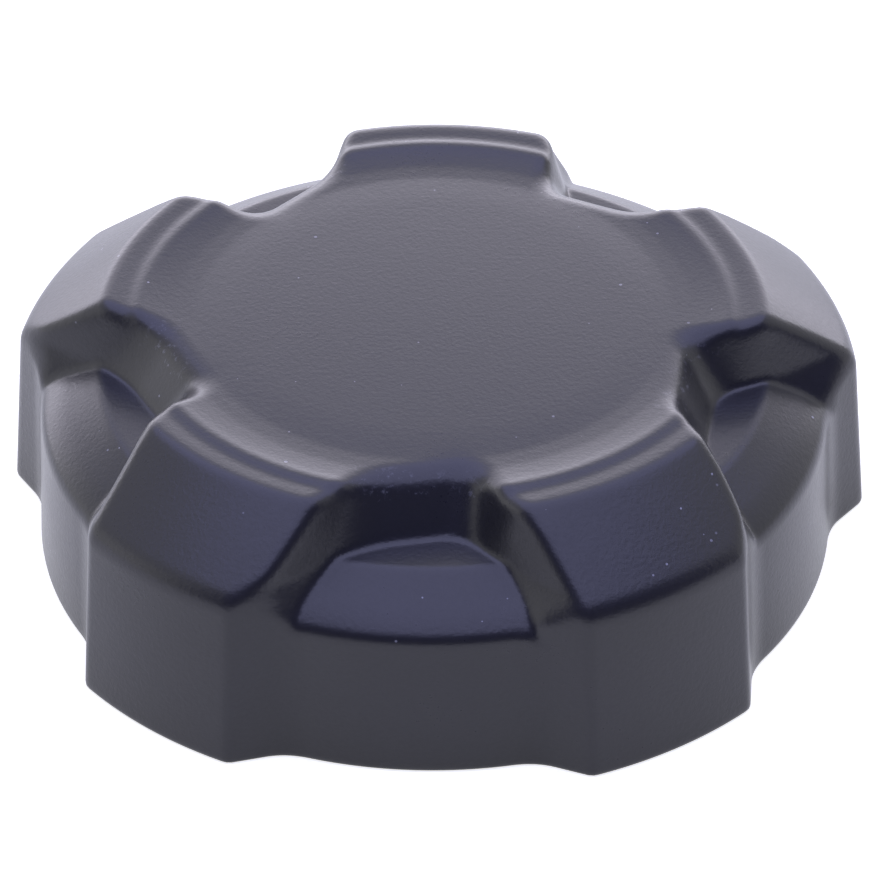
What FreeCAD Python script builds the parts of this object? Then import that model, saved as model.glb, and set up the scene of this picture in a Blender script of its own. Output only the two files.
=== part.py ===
# Fuel filler cap with a five-lobed grip, a ratchet drive and a two-way vent valve.
# Millimetres. The origin is on the cap's axis in the plane of the cover's bottom rim, +Z up.
# One lobe points to +Y, away from the side that the cap is looked at from.
import FreeCAD, Part
import math
import os
import re
import Sketcher

V = FreeCAD.Vector
UP = V(0, 0, 1)

doc = FreeCAD.newDocument("FuelFillerCap")

# Driving sizes
sizes = doc.addObject("Spreadsheet::Sheet", "Sizes")
VALUES = [
    # Grip cover, outside
    ("lobes", 5),
    ("skirt_wall", 2.2),
    ("skirt_draft", 0.65),
    ("lobe_step", 2.9),
    ("lobe_draft", 1.3),
    ("lobe_edge_drop", 1.6),
    ("lobe_half_angle", 11.9),
    ("ramp_half_angle", 18.6),
    ("bevel_width", 9.3),
    ("groove_side_width", 1.5),
    ("disc_edge_width", 4.3),
    ("inner_crest_rise", 0.6),
    ("groove_rise", 0.1),
    ("outer_crest_rise", 0.35),
    ("cone_width", 5.9),
    ("cone_drop", 3.6),
    # Thumb pockets between the lobes, seen along the pocket's own centre line
    ("ledge_width", 4.0),
    ("pocket_depth", 5.5),
    ("pocket_lean", 3.4),
    ("pocket_tilt", 13.2),
    ("pocket_foot_half_width", 4.5),
    ("pocket_top_half_width", 5.4),
    ("flank_foot_run", 4.0),
    ("flank_top_run", 4.8),
    ("flank_foot_half_width", 7.8),
    ("flank_top_half_width", 9.6),
    ("flank_skew", 0.8),
    ("flare_run", 3.1),
    ("flare_foot_half_width", 13.6),
    ("flare_top_half_width", 21.0),
    ("flare_mouth", 6.0),
    ("pocket_corner_round", 2.2),
    ("lobe_edge_round", 1.2),
    ("skirt_edge_round", 0.8),
    # Grip cover, inside
    ("roof", 2.5),
    ("lobe_wall", 2.6),
    ("hollow_half_width", 8.6),
    ("hollow_top_half_width", 6.8),
    ("hollow_shoulder", 14.0),
    ("hollow_overrun", 2.0),
    ("tooth_count", 36),
    ("tooth_depth", 1.2),
    ("tooth_ring_wall", 2.0),
    # Running and fitting clearances
    ("turn_clearance", 0.5),
    ("lift_clearance", 0.3),
    ("push_clearance", 0.1),
    ("slide_clearance", 0.4),
    ("pawl_tip_clearance", 0.65),
    ("filter_clearance", 0.6),
    # Closure that screws on the filler neck
    ("thread_depth", 1.2),
    ("thread_pitch", 4.0),
    ("thread_start", 3.3),
    ("thread_land", 1.9),
    ("closure_wall", 2.2),
    ("closure_bottom", 0.0),
    ("mouth_step", 0.6),
    ("mouth_depth", 2.6),
    ("flange_width", 2.4),
    ("flange_bottom", 3.6),
    ("flange_thickness", 2.0),
    ("seat_height", 10.6),
    ("gasket_thickness", 1.8),
    ("gasket_width", 5.8),
    ("gasket_rim_depth", 1.0),
    ("web_thickness", 2.2),
    ("tube_wall", 2.3),
    ("tube_bottom", 3.6),
    ("key_count", 6),
    ("key_height", 1.1),
    ("key_width", 3.0),
    # Ratchet between the cover and the closure
    ("hub_thickness", 2.8),
    ("hub_width", 3.9),
    ("pawl_strip", 0.5),
    ("pawl_height", 1.4),
    ("pawl_reach", 2.9),
    ("pawl_lead_angle", 23.0),
    ("slip_washer_thickness", 1.6),
    ("slip_washer_width", 5.2),
    ("slip_washer_lap", 0.8),
    ("slip_washer_margin", 0.3),
    # Retaining ring snapped into the cover
    ("ring_bottom", 1.6),
    ("ring_thickness", 1.6),
    ("snap_depth", 0.5),
    # Vent valve
    ("housing_bottom", 2.6),
    ("housing_wall", 2.6),
    ("housing_flange_width", 1.9),
    ("housing_flange_thickness", 1.2),
    ("seal_groove_height", 9.0),
    ("seal_ring_thickness", 1.4),
    ("valve_seat_bottom", 4.4),
    ("valve_seat_thickness", 1.5),
    ("valve_seat_bead", 0.4),
    ("poppet_clearance", 1.8),
    ("pressure_seal_thickness", 1.0),
    ("pressure_seal_width", 3.6),
    ("pressure_seal_margin", 0.6),
    ("plate_thickness", 0.8),
    ("plate_hole_radius", 2.6),
    ("plate_collar_height", 1.5),
    ("plate_collar_wall", 0.6),
    ("vacuum_disc_radius", 4.8),
    ("vacuum_disc_thickness", 0.8),
    ("vacuum_seal_thickness", 0.6),
    ("vacuum_stem_radius", 1.2),
    ("vacuum_stem_height", 14.0),
    ("stem_collar_thickness", 0.8),
    ("stem_collar_radius", 3.3),
    ("pressure_wire", 0.9),
    ("pressure_coil_radius", 7.2),
    ("pressure_coils", 5),
    ("vacuum_wire", 0.5),
    ("vacuum_coil_radius", 2.5),
    ("vacuum_coils", 5),
    ("spring_cap_thickness", 1.4),
    ("vent_hole_radius", 1.1),
    ("vent_hole_circle", 5.4),
    ("vent_hole_count", 6),
    ("baffle_thickness", 0.8),
    ("baffle_slot_radius", 1.5),
    ("filter_lap", 0.8),
    ("filter_thickness", 1.6),
]
# Sizes that follow from those above, from the valve outwards and from the neck's seat upwards
RULES = [
    ("pressure_seal_bore", "vacuum_disc_radius + pressure_seal_margin"),
    ("plate_radius", "pressure_seal_bore + pressure_seal_width + pressure_seal_margin"),
    ("housing_bore_radius", "plate_radius + slide_clearance"),
    ("valve_seat_opening", "vacuum_disc_radius + poppet_clearance"),
    ("valve_bore_radius", "housing_bore_radius + housing_wall + push_clearance"),
    ("filter_radius", "housing_bore_radius + filter_lap"),
    ("hub_radius", "valve_bore_radius + tube_wall + push_clearance + hub_width"),
    ("tooth_root_radius", "hub_radius + pawl_strip / 2 + pawl_reach + pawl_tip_clearance"),
    ("slip_washer_bore", "tooth_root_radius + tooth_ring_wall + turn_clearance"),
    ("thread_radius", "slip_washer_bore + slip_washer_width + slip_washer_margin"),
    ("gasket_radius", "thread_radius - thread_depth - push_clearance"),
    ("skirt_radius", "thread_radius + closure_wall + flange_width + turn_clearance + skirt_wall"),
    ("skirt_base_radius", "skirt_radius + skirt_draft"),
    ("lobe_radius", "skirt_radius + lobe_step"),
    ("lobe_base_radius", "lobe_radius + lobe_draft"),
    ("outer_crest_radius", "lobe_radius - bevel_width"),
    ("groove_radius", "outer_crest_radius - groove_side_width"),
    ("inner_crest_radius", "groove_radius - groove_side_width"),
    ("disc_radius", "inner_crest_radius - disc_edge_width"),
    ("ledge_radius", "skirt_radius - cone_width"),
    ("pocket_foot_reach", "ledge_radius - ledge_width"),
    ("pocket_top_reach", "pocket_foot_reach - pocket_lean"),
    ("flank_foot_reach", "pocket_foot_reach + flank_foot_run"),
    ("flank_top_reach", "pocket_top_reach + flank_top_run"),
    ("flare_reach", "flank_foot_reach + flare_run"),
    ("web_top", "seat_height + gasket_thickness + web_thickness"),
    ("ledge_height", "web_top + slip_washer_thickness + lift_clearance + roof"),
    ("lobe_wall_height", "ledge_height - lobe_edge_drop"),
    ("skirt_height", "ledge_height - cone_drop"),
    ("disc_height", "ledge_height + pocket_depth"),
    ("inner_crest_height", "disc_height + inner_crest_rise"),
    ("groove_height", "disc_height + groove_rise"),
    ("outer_crest_height", "disc_height + outer_crest_rise"),
    ("mouth_radius", "thread_radius + mouth_step"),
    ("tube_top", "disc_height - roof - filter_clearance - filter_thickness - housing_flange_thickness"),
]
for row, (alias, value) in enumerate(VALUES + RULES, 1):
    sizes.set("A%d" % row, alias)
    sizes.set("B%d" % row, str(value) if (alias, value) in VALUES else "=" + value)
    sizes.setAlias("B%d" % row, alias)
doc.recompute()

NAMES = [alias for alias, value in VALUES + RULES]


def size(name):
    return float(sizes.get(name))


def bound(text):
    """A rule written with bare size names, as the sheet's own expression."""
    return re.sub(r"[a-z_]+", lambda word: "Sizes." + word.group() if word.group() in NAMES else word.group(), text)


def plane(body, role):
    return [item for item in body.Origin.OriginFeatures if item.Role == role][0]


def new_body(label):
    body = doc.addObject("PartDesign::Body", label.title().replace("_", ""))
    body.Label = label
    return body


def pin(sketch, name, kind, rule, *where):
    value = sketch.evalExpression(bound(rule))
    index = sketch.addConstraint(Sketcher.Constraint(kind, *where, float(value)))
    sketch.renameConstraint(index, name)
    sketch.setExpression("Constraints." + name, bound(rule))


def attach(sketch, body, role, lift=None):
    sketch.AttachmentSupport = [(plane(body, role), "")]
    sketch.MapMode = "FlatFace"
    if lift:
        sketch.setExpression("AttachmentOffset.Base.z", bound(lift))


def outline(sketch, points):
    """Closed outline of straight lines through points given as pairs of size rules."""
    first = sketch.GeometryCount
    spots = [V(float(sketch.evalExpression(bound(a))), float(sketch.evalExpression(bound(b))), 0) for a, b in points]
    count = len(points)
    for i in range(count):
        sketch.addGeometry(Part.LineSegment(spots[i], spots[(i + 1) % count]), False)
    for i in range(count):
        sketch.addConstraint(Sketcher.Constraint("Coincident", first + i, 2, first + (i + 1) % count, 1))
    for i, (a, b) in enumerate(points):
        pin(sketch, "across%d" % (first + i), "DistanceX", a, -1, 1, first + i, 1)
        pin(sketch, "along%d" % (first + i), "DistanceY", b, -1, 1, first + i, 1)


def circle(sketch, across, along, radius):
    index = sketch.GeometryCount
    centre = V(float(sketch.evalExpression(bound(across))), float(sketch.evalExpression(bound(along))), 0)
    sketch.addGeometry(Part.Circle(centre, UP, float(sketch.evalExpression(bound(radius)))), False)
    pin(sketch, "across%d" % index, "DistanceX", across, -1, 1, index, 3)
    pin(sketch, "along%d" % index, "DistanceY", along, -1, 1, index, 3)
    pin(sketch, "radius%d" % index, "Radius", radius, index)


def revolved(body, name, points, kind="PartDesign::Revolution"):
    sketch = body.newObject("Sketcher::SketchObject", name + "Sketch")
    attach(sketch, body, "XZ_Plane")
    outline(sketch, points)
    feature = body.newObject(kind, name)
    feature.Profile = sketch
    feature.ReferenceAxis = (sketch, ["V_Axis"])
    feature.Angle = 360
    return feature


def turned(label, points):
    body = new_body(label)
    revolved(body, label.title().replace("_", "") + "Form", points)
    return body


def padded(body, name, draw, lift, length, kind="PartDesign::Pad", reverse=False):
    sketch = body.newObject("Sketcher::SketchObject", name + "Sketch")
    attach(sketch, body, "XY_Plane", lift)
    draw(sketch)
    feature = body.newObject(kind, name)
    feature.Profile = sketch
    feature.setExpression("Length", bound(length))
    feature.Reversed = reverse
    return feature


def ring_pattern(body, name, feature, count):
    pattern = body.newObject("PartDesign::PolarPattern", name)
    pattern.Originals = [feature]
    pattern.Axis = (plane_axis(body), [""])
    pattern.Angle = 360
    pattern.setExpression("Occurrences", bound(count))
    body.Tip = pattern
    return pattern


def plane_axis(body):
    return [item for item in body.Origin.OriginFeatures if item.Role == "Z_Axis"][0]


def coil(label, radius, wire, start, height, turns):
    body = new_body(label)
    sketch = body.newObject("Sketcher::SketchObject", "WireSketch")
    attach(sketch, body, "XZ_Plane")
    circle(sketch, radius, start, wire + " / 2")
    feature = body.newObject("PartDesign::AdditiveHelix", "Coil")
    feature.Profile = sketch
    feature.ReferenceAxis = (sketch, ["V_Axis"])
    feature.Mode = "height-turns-angle"
    feature.setExpression("Height", bound(height))
    feature.setExpression("Turns", bound(turns))
    return body


def free_sketch(name, points):
    """Sketch in the XZ plane for the cover's turned forms."""
    sketch = doc.addObject("Sketcher::SketchObject", name)
    sketch.Placement = FreeCAD.Placement(V(0, 0, 0), FreeCAD.Rotation(V(1, 0, 0), 90))
    outline(sketch, points)
    return sketch


def turned_form(name, points):
    form = doc.addObject("Part::Revolution", name)
    form.Source = free_sketch(name + "Sketch", points)
    form.Axis = (0, 0, 1)
    form.Angle = 360
    form.Solid = True
    return form


def shaped(name, shape):
    form = doc.addObject("Part::Feature", name)
    form.Shape = shape
    return form


def joined(name, kind, parts):
    form = doc.addObject(kind, name)
    form.Shapes = parts
    return form


def cut(name, base, tool):
    form = doc.addObject("Part::Cut", name)
    form.Base = base
    form.Tool = tool
    return form


def polar(radius, degrees, height=0.0):
    return V(radius * math.cos(math.radians(degrees)), radius * math.sin(math.radians(degrees)), height)


# Grip cover: one hollow moulding, open below
SLOPE = "(ledge_height - skirt_height) / (skirt_radius - ledge_radius)"
BEVEL = "(outer_crest_height - lobe_wall_height) / (lobe_radius - outer_crest_radius)"
FAR = "(lobe_base_radius + 8)"

lower_form = turned_form("LowerForm", [
    ("0", "0"),
    (FAR, "0"),
    (FAR, "ledge_height - " + SLOPE + " * (" + FAR + " - ledge_radius)"),
    ("ledge_radius", "ledge_height"),
    ("0", "ledge_height"),
])
upper_form = turned_form("UpperForm", [
    ("0", "0"),
    (FAR, "0"),
    (FAR, "outer_crest_height - " + BEVEL + " * (" + FAR + " - outer_crest_radius)"),
    ("outer_crest_radius", "outer_crest_height"),
    ("groove_radius + 0.4", "groove_height"),
    ("groove_radius - 0.4", "groove_height"),
    ("inner_crest_radius + 0.3", "inner_crest_height"),
    ("inner_crest_radius - 0.5", "inner_crest_height"),
    ("disc_radius", "disc_height"),
    ("0", "disc_height"),
])

# Plan outline of the skirt: lobe arcs, short ramps and recessed arcs, with the mould's draft
pitch_angle = 360.0 / size("lobes")
form_top = size("inner_crest_height") + 1.0


def grip_outline(lobe, skirt, height):
    edges = []
    for k in range(int(size("lobes"))):
        mid = 90 + k * pitch_angle
        a = size("lobe_half_angle")
        b = size("ramp_half_angle")
        c = mid + pitch_angle / 2
        edges.append(Part.Arc(polar(lobe, mid - a, height), polar(lobe, mid, height), polar(lobe, mid + a, height)).toShape())
        edges.append(Part.LineSegment(polar(lobe, mid + a, height), polar(skirt, mid + b, height)).toShape())
        edges.append(Part.Arc(polar(skirt, mid + b, height), polar(skirt, c, height),
                              polar(skirt, mid + pitch_angle - b, height)).toShape())
        edges.append(Part.LineSegment(polar(skirt, mid + pitch_angle - b, height),
                                      polar(lobe, mid + pitch_angle - a, height)).toShape())
    return Part.Wire(edges)


lobe_draft = (size("lobe_base_radius") - size("lobe_radius")) / size("lobe_wall_height")
skirt_draft = (size("skirt_base_radius") - size("skirt_radius")) / size("skirt_height")
skirt_form = shaped("SkirtForm", Part.makeLoft([
    grip_outline(size("lobe_base_radius"), size("skirt_base_radius"), 0.0),
    grip_outline(size("lobe_base_radius") - lobe_draft * form_top,
                 size("skirt_base_radius") - skirt_draft * form_top, form_top),
], True, True))


# Thumb pocket: a slanted back wall with rounded corners and two flaring flanks
def pocket_outline(height):
    """The pocket at one height, seen from above with its centre line along +X."""
    part_way = (height - size("ledge_height")) / (size("disc_height") - size("ledge_height"))

    def between(foot, top):
        return size(foot) + part_way * (size(top) - size(foot))

    tilt = math.tan(math.radians(size("pocket_tilt")))
    reach = between("pocket_foot_reach", "pocket_top_reach")
    half = between("pocket_foot_half_width", "pocket_top_half_width")
    flank = between("flank_foot_half_width", "flank_top_half_width")
    flare = between("flare_foot_half_width", "flare_top_half_width")
    mouth = size("flare_mouth")
    skew = size("flank_skew")
    flank_reach = between("flank_foot_reach", "flank_top_reach")
    slant = (flare - flank) / (size("flare_reach") - flank_reach)
    right = V(reach - tilt * half, half, height)
    left = V(reach + tilt * half, -half, height)
    corners = [
        V(size("flare_reach") + mouth, -flare - slant * mouth, height),
        V(size("flare_reach"), -flare, height),
        V(flank_reach, skew - flank, height),
        left,
        right,
        V(flank_reach, flank + skew, height),
        V(size("flare_reach"), flare, height),
        V(size("flare_reach") + mouth, flare + slant * mouth, height),
    ]
    far = 3 * size("lobe_base_radius")
    rounded = []
    for at, before, after in ((left, corners[2], right), (right, left, corners[5])):
        reach_back = (before - at).normalize() * size("pocket_corner_round")
        reach_on = (after - at).normalize() * size("pocket_corner_round")
        middle = at + (reach_back + reach_on) * 0.25
        rounded.append((at + reach_back, middle, at + reach_on))
    edges = [
        Part.LineSegment(corners[0], corners[1]).toShape(),
        Part.LineSegment(corners[1], corners[2]).toShape(),
        Part.LineSegment(corners[2], rounded[0][0]).toShape(),
        Part.Arc(*rounded[0]).toShape(),
        Part.LineSegment(rounded[0][2], rounded[1][0]).toShape(),
        Part.Arc(*rounded[1]).toShape(),
        Part.LineSegment(rounded[1][2], corners[5]).toShape(),
        Part.LineSegment(corners[5], corners[6]).toShape(),
        Part.LineSegment(corners[6], corners[7]).toShape(),
        Part.LineSegment(corners[7], V(far, corners[7].y, height)).toShape(),
        Part.LineSegment(V(far, corners[7].y, height), V(far, corners[0].y, height)).toShape(),
        Part.LineSegment(V(far, corners[0].y, height), corners[0]).toShape(),
    ]
    return Part.Wire(edges)


pocket_low = size("skirt_height") - 1.0
pocket = Part.makeLoft([pocket_outline(pocket_low), pocket_outline(form_top + 1.0)], True, True)
lobes_form = upper_form
for k in range(int(size("lobes"))):
    turned_pocket = pocket.copy()
    turned_pocket.rotate(V(0, 0, 0), UP, 90 + pitch_angle / 2 + k * pitch_angle)
    lobes_form = cut("LobesForm%d" % (k + 1), lobes_form, shaped("ThumbPocket%d" % (k + 1), turned_pocket))
stepped_form = joined("SteppedForm", "Part::MultiFuse", [lower_form, lobes_form])
outer_form = joined("OuterForm", "Part::MultiCommon", [skirt_form, stepped_form])
doc.recompute()


def rim_edges(shape, radius, height, turn, half_angle, round_radius):
    """Arcs of one radius and height, each centred on a lobe or on the skirt between two lobes."""
    found = []
    for number, edge in enumerate(shape.Edges, 1):
        spot = edge.valueAt((edge.FirstParameter + edge.LastParameter) / 2)
        angle = (math.degrees(math.atan2(spot.y, spot.x)) - 90 - turn) % pitch_angle
        off = min(angle, pitch_angle - angle)
        near = abs(math.hypot(spot.x, spot.y) - radius) < 0.4 and abs(spot.z - height) < 0.4
        if near and off < half_angle:
            found.append((number, round_radius, round_radius))
    return found


rounded_form = doc.addObject("Part::Fillet", "RoundedForm")
rounded_form.Base = outer_form
rounded_form.Edges = (
    rim_edges(outer_form.Shape, size("lobe_radius"), size("lobe_wall_height"), 0,
              size("lobe_half_angle"), size("lobe_edge_round"))
    + rim_edges(outer_form.Shape, size("skirt_radius"), size("skirt_height"), pitch_angle / 2,
                pitch_angle / 2 - size("ramp_half_angle"), size("skirt_edge_round"))
)

# Hollow inside: a turned bore under the ledges and the disc, and a pocket inside each lobe
LAND = "(thread_radius + closure_wall + flange_width + turn_clearance)"
CEILING = "(ledge_height - roof)"
SLOPE_ROOF = "(roof * 1.17)"
BEVEL_ROOF = "(roof * 1.28)"
TOOTH_RING = "(tooth_root_radius + tooth_ring_wall)"
bore_form = turned_form("BoreForm", [
    ("0", "-hollow_overrun"),
    (LAND, "-hollow_overrun"),
    (LAND, "ledge_height - " + SLOPE + " * (" + LAND + " - ledge_radius) - " + SLOPE_ROOF),
    ("ledge_radius + (roof - " + SLOPE_ROOF + ") / (" + SLOPE + ")", CEILING),
    (TOOTH_RING + " - 0.6", CEILING),
    ("pocket_top_reach - roof * 1.5", "disc_height - roof"),
    ("0", "disc_height - roof"),
])
LOBE_DRAFT = "(lobe_base_radius - lobe_radius) / lobe_wall_height"
INNER_TOP = "(outer_crest_height - " + BEVEL_ROOF + " - " + BEVEL + " * (lobe_radius - lobe_wall - outer_crest_radius))"
lobe_bore_form = turned_form("LobeBoreForm", [
    ("pocket_top_reach / 2", "-hollow_overrun"),
    ("lobe_base_radius - lobe_wall + hollow_overrun * " + LOBE_DRAFT, "-hollow_overrun"),
    ("lobe_base_radius - lobe_wall - " + LOBE_DRAFT + " * " + INNER_TOP, INNER_TOP),
    ("outer_crest_radius + (outer_crest_height - " + BEVEL_ROOF + " - disc_height + roof) / (" + BEVEL + ")",
     "disc_height - roof"),
    ("pocket_top_reach / 2", "disc_height - roof"),
])
wedges = []
for k in range(int(size("lobes"))):
    low = size("hollow_half_width")
    high = size("hollow_top_half_width")
    shoulder = size("hollow_shoulder")
    near = size("pocket_top_reach") / 2
    under = -size("hollow_overrun")
    section = Part.makePolygon([
        V(near, -low, under), V(near, low, under), V(near, low, shoulder), V(near, high, form_top),
        V(near, -high, form_top), V(near, -low, shoulder), V(near, -low, under),
    ])
    wedge = Part.Face(section).extrude(V(2 * size("lobe_radius"), 0, 0))
    wedge.rotate(V(0, 0, 0), UP, 90 + k * pitch_angle)
    wedges.append(shaped("LobeWedge%d" % (k + 1), wedge))
wedge_set = joined("LobeWedges", "Part::MultiFuse", wedges)
lobe_hollows = joined("LobeHollows", "Part::MultiCommon", [lobe_bore_form, wedge_set])

# Groove in the bore's five lands for the retaining ring
snap_form = turned_form("SnapForm", [
    ("thread_radius", "ring_bottom - push_clearance"),
    (LAND + " + snap_depth", "ring_bottom - push_clearance"),
    (LAND + " + snap_depth", "ring_bottom + ring_thickness + push_clearance"),
    ("thread_radius", "ring_bottom + ring_thickness + push_clearance"),
])
hollow_form = joined("HollowForm", "Part::MultiFuse", [bore_form, lobe_hollows, snap_form])
shell_form = cut("ShellForm", rounded_form, hollow_form)

# Ring of saw teeth under the disc: steep faces drive the cap off, ramps slip past the pawls
tooth_bottom = size("web_top") + size("turn_clearance")
tooth_height = size("disc_height") - size("roof") / 2 - tooth_bottom
tooth_angle = 360.0 / size("tooth_count")
saw = []
for k in range(int(size("tooth_count"))):
    saw.append(polar(size("tooth_root_radius"), k * tooth_angle, tooth_bottom))
    saw.append(polar(size("tooth_root_radius") - size("tooth_depth"), (k + 1) * tooth_angle, tooth_bottom))
saw_face = Part.Face(Part.makePolygon(saw + [saw[0]]))
tooth_blank = Part.makeCylinder(size("tooth_root_radius") + size("tooth_ring_wall"), tooth_height, V(0, 0, tooth_bottom))
tooth_ring = shaped("ToothRing", tooth_blank.cut(saw_face.extrude(V(0, 0, tooth_height))))
ring_limit = turned_form("RingLimit", [
    ("0", "0"),
    (TOOTH_RING, "0"),
    (TOOTH_RING, CEILING + " + roof / 2"),
    ("pocket_top_reach - roof", "disc_height - roof / 2"),
    ("0", "disc_height - roof / 2"),
])
tooth_form = joined("ToothForm", "Part::MultiCommon", [tooth_ring, ring_limit])
cover = joined("Cover", "Part::MultiFuse", [shell_form, tooth_form])
cover.Label = "cover"

# Closure: threaded cup that goes over the neck, with a flange, a web and a central valve tube
CLOSURE_R = "(thread_radius + closure_wall)"
FLANGE_R = "(thread_radius + closure_wall + flange_width)"
WEB_BOTTOM = "(seat_height + gasket_thickness)"
BOSS_R = "(valve_bore_radius + tube_wall)"
THREAD_RISE = "(seat_height - lift_clearance - thread_start - thread_land)"
closure = new_body("closure")
revolved(closure, "ClosureForm", [
    ("mouth_radius", "closure_bottom"),
    (CLOSURE_R + " - 0.4", "closure_bottom"),
    (CLOSURE_R, "closure_bottom + 0.4"),
    (CLOSURE_R, "flange_bottom"),
    (FLANGE_R, "flange_bottom"),
    (FLANGE_R, "flange_bottom + flange_thickness"),
    (CLOSURE_R, "flange_bottom + flange_thickness"),
    (CLOSURE_R, "web_top - 1.2"),
    (CLOSURE_R + " - 1.2", "web_top"),
    (BOSS_R, "web_top"),
    (BOSS_R, "tube_top"),
    ("valve_bore_radius", "tube_top"),
    ("valve_bore_radius", "tube_bottom"),
    (BOSS_R + " - 0.6", "tube_bottom"),
    (BOSS_R, "tube_bottom + 0.6"),
    (BOSS_R, WEB_BOTTOM),
    ("gasket_radius + push_clearance", WEB_BOTTOM),
    ("gasket_radius + push_clearance", WEB_BOTTOM + " - gasket_rim_depth"),
    ("thread_radius", WEB_BOTTOM + " - gasket_rim_depth"),
    ("thread_radius", "closure_bottom + mouth_depth"),
    ("mouth_radius", "closure_bottom + mouth_depth - 0.6"),
])
thread_sketch = closure.newObject("Sketcher::SketchObject", "ThreadSketch")
attach(thread_sketch, closure, "XZ_Plane")
outline(thread_sketch, [
    ("thread_radius + 0.5", "thread_start"),
    ("thread_radius + 0.5", "thread_start + thread_land"),
    ("thread_radius - thread_depth", "thread_start + thread_land * 0.72"),
    ("thread_radius - thread_depth", "thread_start + thread_land * 0.28"),
])
thread = closure.newObject("PartDesign::AdditiveHelix", "Thread")
thread.Profile = thread_sketch
thread.ReferenceAxis = (thread_sketch, ["V_Axis"])
thread.Mode = "height-turns-angle"
thread.setExpression("Height", bound(THREAD_RISE))
thread.setExpression("Turns", bound(THREAD_RISE + " / thread_pitch"))
key = padded(closure, "DriveKey", lambda sketch: outline(sketch, [
    (BOSS_R + " - 0.5", "-key_width / 2"),
    (BOSS_R + " + key_height", "-key_width / 2"),
    (BOSS_R + " + key_height", "key_width / 2"),
    (BOSS_R + " - 0.5", "key_width / 2"),
]), "web_top - 0.3", "hub_thickness + 0.3")
doc.recompute()
ring_pattern(closure, "DriveKeys", key, "key_count")

# Flat rubber gasket under the web, pressed on the neck's rim
turned("neck_gasket", [
    ("gasket_radius - gasket_width", "seat_height"),
    ("gasket_radius", "seat_height"),
    ("gasket_radius", WEB_BOTTOM),
    ("gasket_radius - gasket_width", WEB_BOTTOM),
])

# Slip washer between the closure's web and the cover's ledges
SLIP_R = "(ledge_radius - roof)"
turned("slip_washer", [
    ("slip_washer_bore", "web_top"),
    (SLIP_R + " + slip_washer_lap", "web_top"),
    (SLIP_R + " + slip_washer_lap", "web_top + slip_washer_thickness"),
    ("slip_washer_bore", "web_top + slip_washer_thickness"),
])

# Retaining ring that keeps the closure in the cover
turned("retaining_ring", [
    (CLOSURE_R + " + turn_clearance - push_clearance", "ring_bottom"),
    (LAND + " + snap_depth - push_clearance", "ring_bottom"),
    (LAND + " + snap_depth - push_clearance", "ring_bottom + ring_thickness"),
    (CLOSURE_R + " + turn_clearance - push_clearance", "ring_bottom + ring_thickness"),
])

# Ratchet hub, keyed on the closure's tube
hub = turned("ratchet_hub", [
    (BOSS_R + " + push_clearance", "web_top"),
    ("hub_radius", "web_top"),
    ("hub_radius", "web_top + hub_thickness - 0.4"),
    ("hub_radius - 0.4", "web_top + hub_thickness"),
    (BOSS_R + " + push_clearance", "web_top + hub_thickness"),
])
keyway = padded(hub, "Keyway", lambda sketch: outline(sketch, [
    ("valve_bore_radius", "-key_width / 2 - push_clearance"),
    (BOSS_R + " + key_height + push_clearance", "-key_width / 2 - push_clearance"),
    (BOSS_R + " + key_height + push_clearance", "key_width / 2 + push_clearance"),
    ("valve_bore_radius", "key_width / 2 + push_clearance"),
]), "web_top - 1", "hub_thickness + 2", "PartDesign::Pocket", True)
doc.recompute()
ring_pattern(hub, "Keyways", keyway, "key_count")

# Pawl spring: a thin steel band round the hub with four fingers that reach into the teeth
band_radius = size("hub_radius") + 0.05
strip = size("pawl_strip")
pawl_bottom = size("web_top") + (size("hub_thickness") - size("pawl_height")) / 2
band = Part.makeCylinder(band_radius + strip, size("pawl_height"), V(0, 0, pawl_bottom))
band = band.cut(Part.makeCylinder(band_radius, size("pawl_height"), V(0, 0, pawl_bottom)))
for k in range(4):
    tip_angle = 1.5 + 90 * k
    root_angle = tip_angle + size("pawl_lead_angle")
    tip = band_radius + strip / 2 + size("pawl_reach")
    finger = Part.makePolygon([
        polar(band_radius + strip / 4, root_angle, pawl_bottom),
        polar(band_radius + strip * 0.9, root_angle + 3, pawl_bottom),
        polar(tip, tip_angle, pawl_bottom),
        polar(tip - strip, tip_angle, pawl_bottom),
        polar(band_radius + strip / 4, root_angle, pawl_bottom),
    ])
    band = band.fuse(Part.Face(finger).extrude(V(0, 0, size("pawl_height"))))
pawl_spring = shaped("PawlSpring", band.removeSplitter())
pawl_spring.Label = "pawl_spring"

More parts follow.
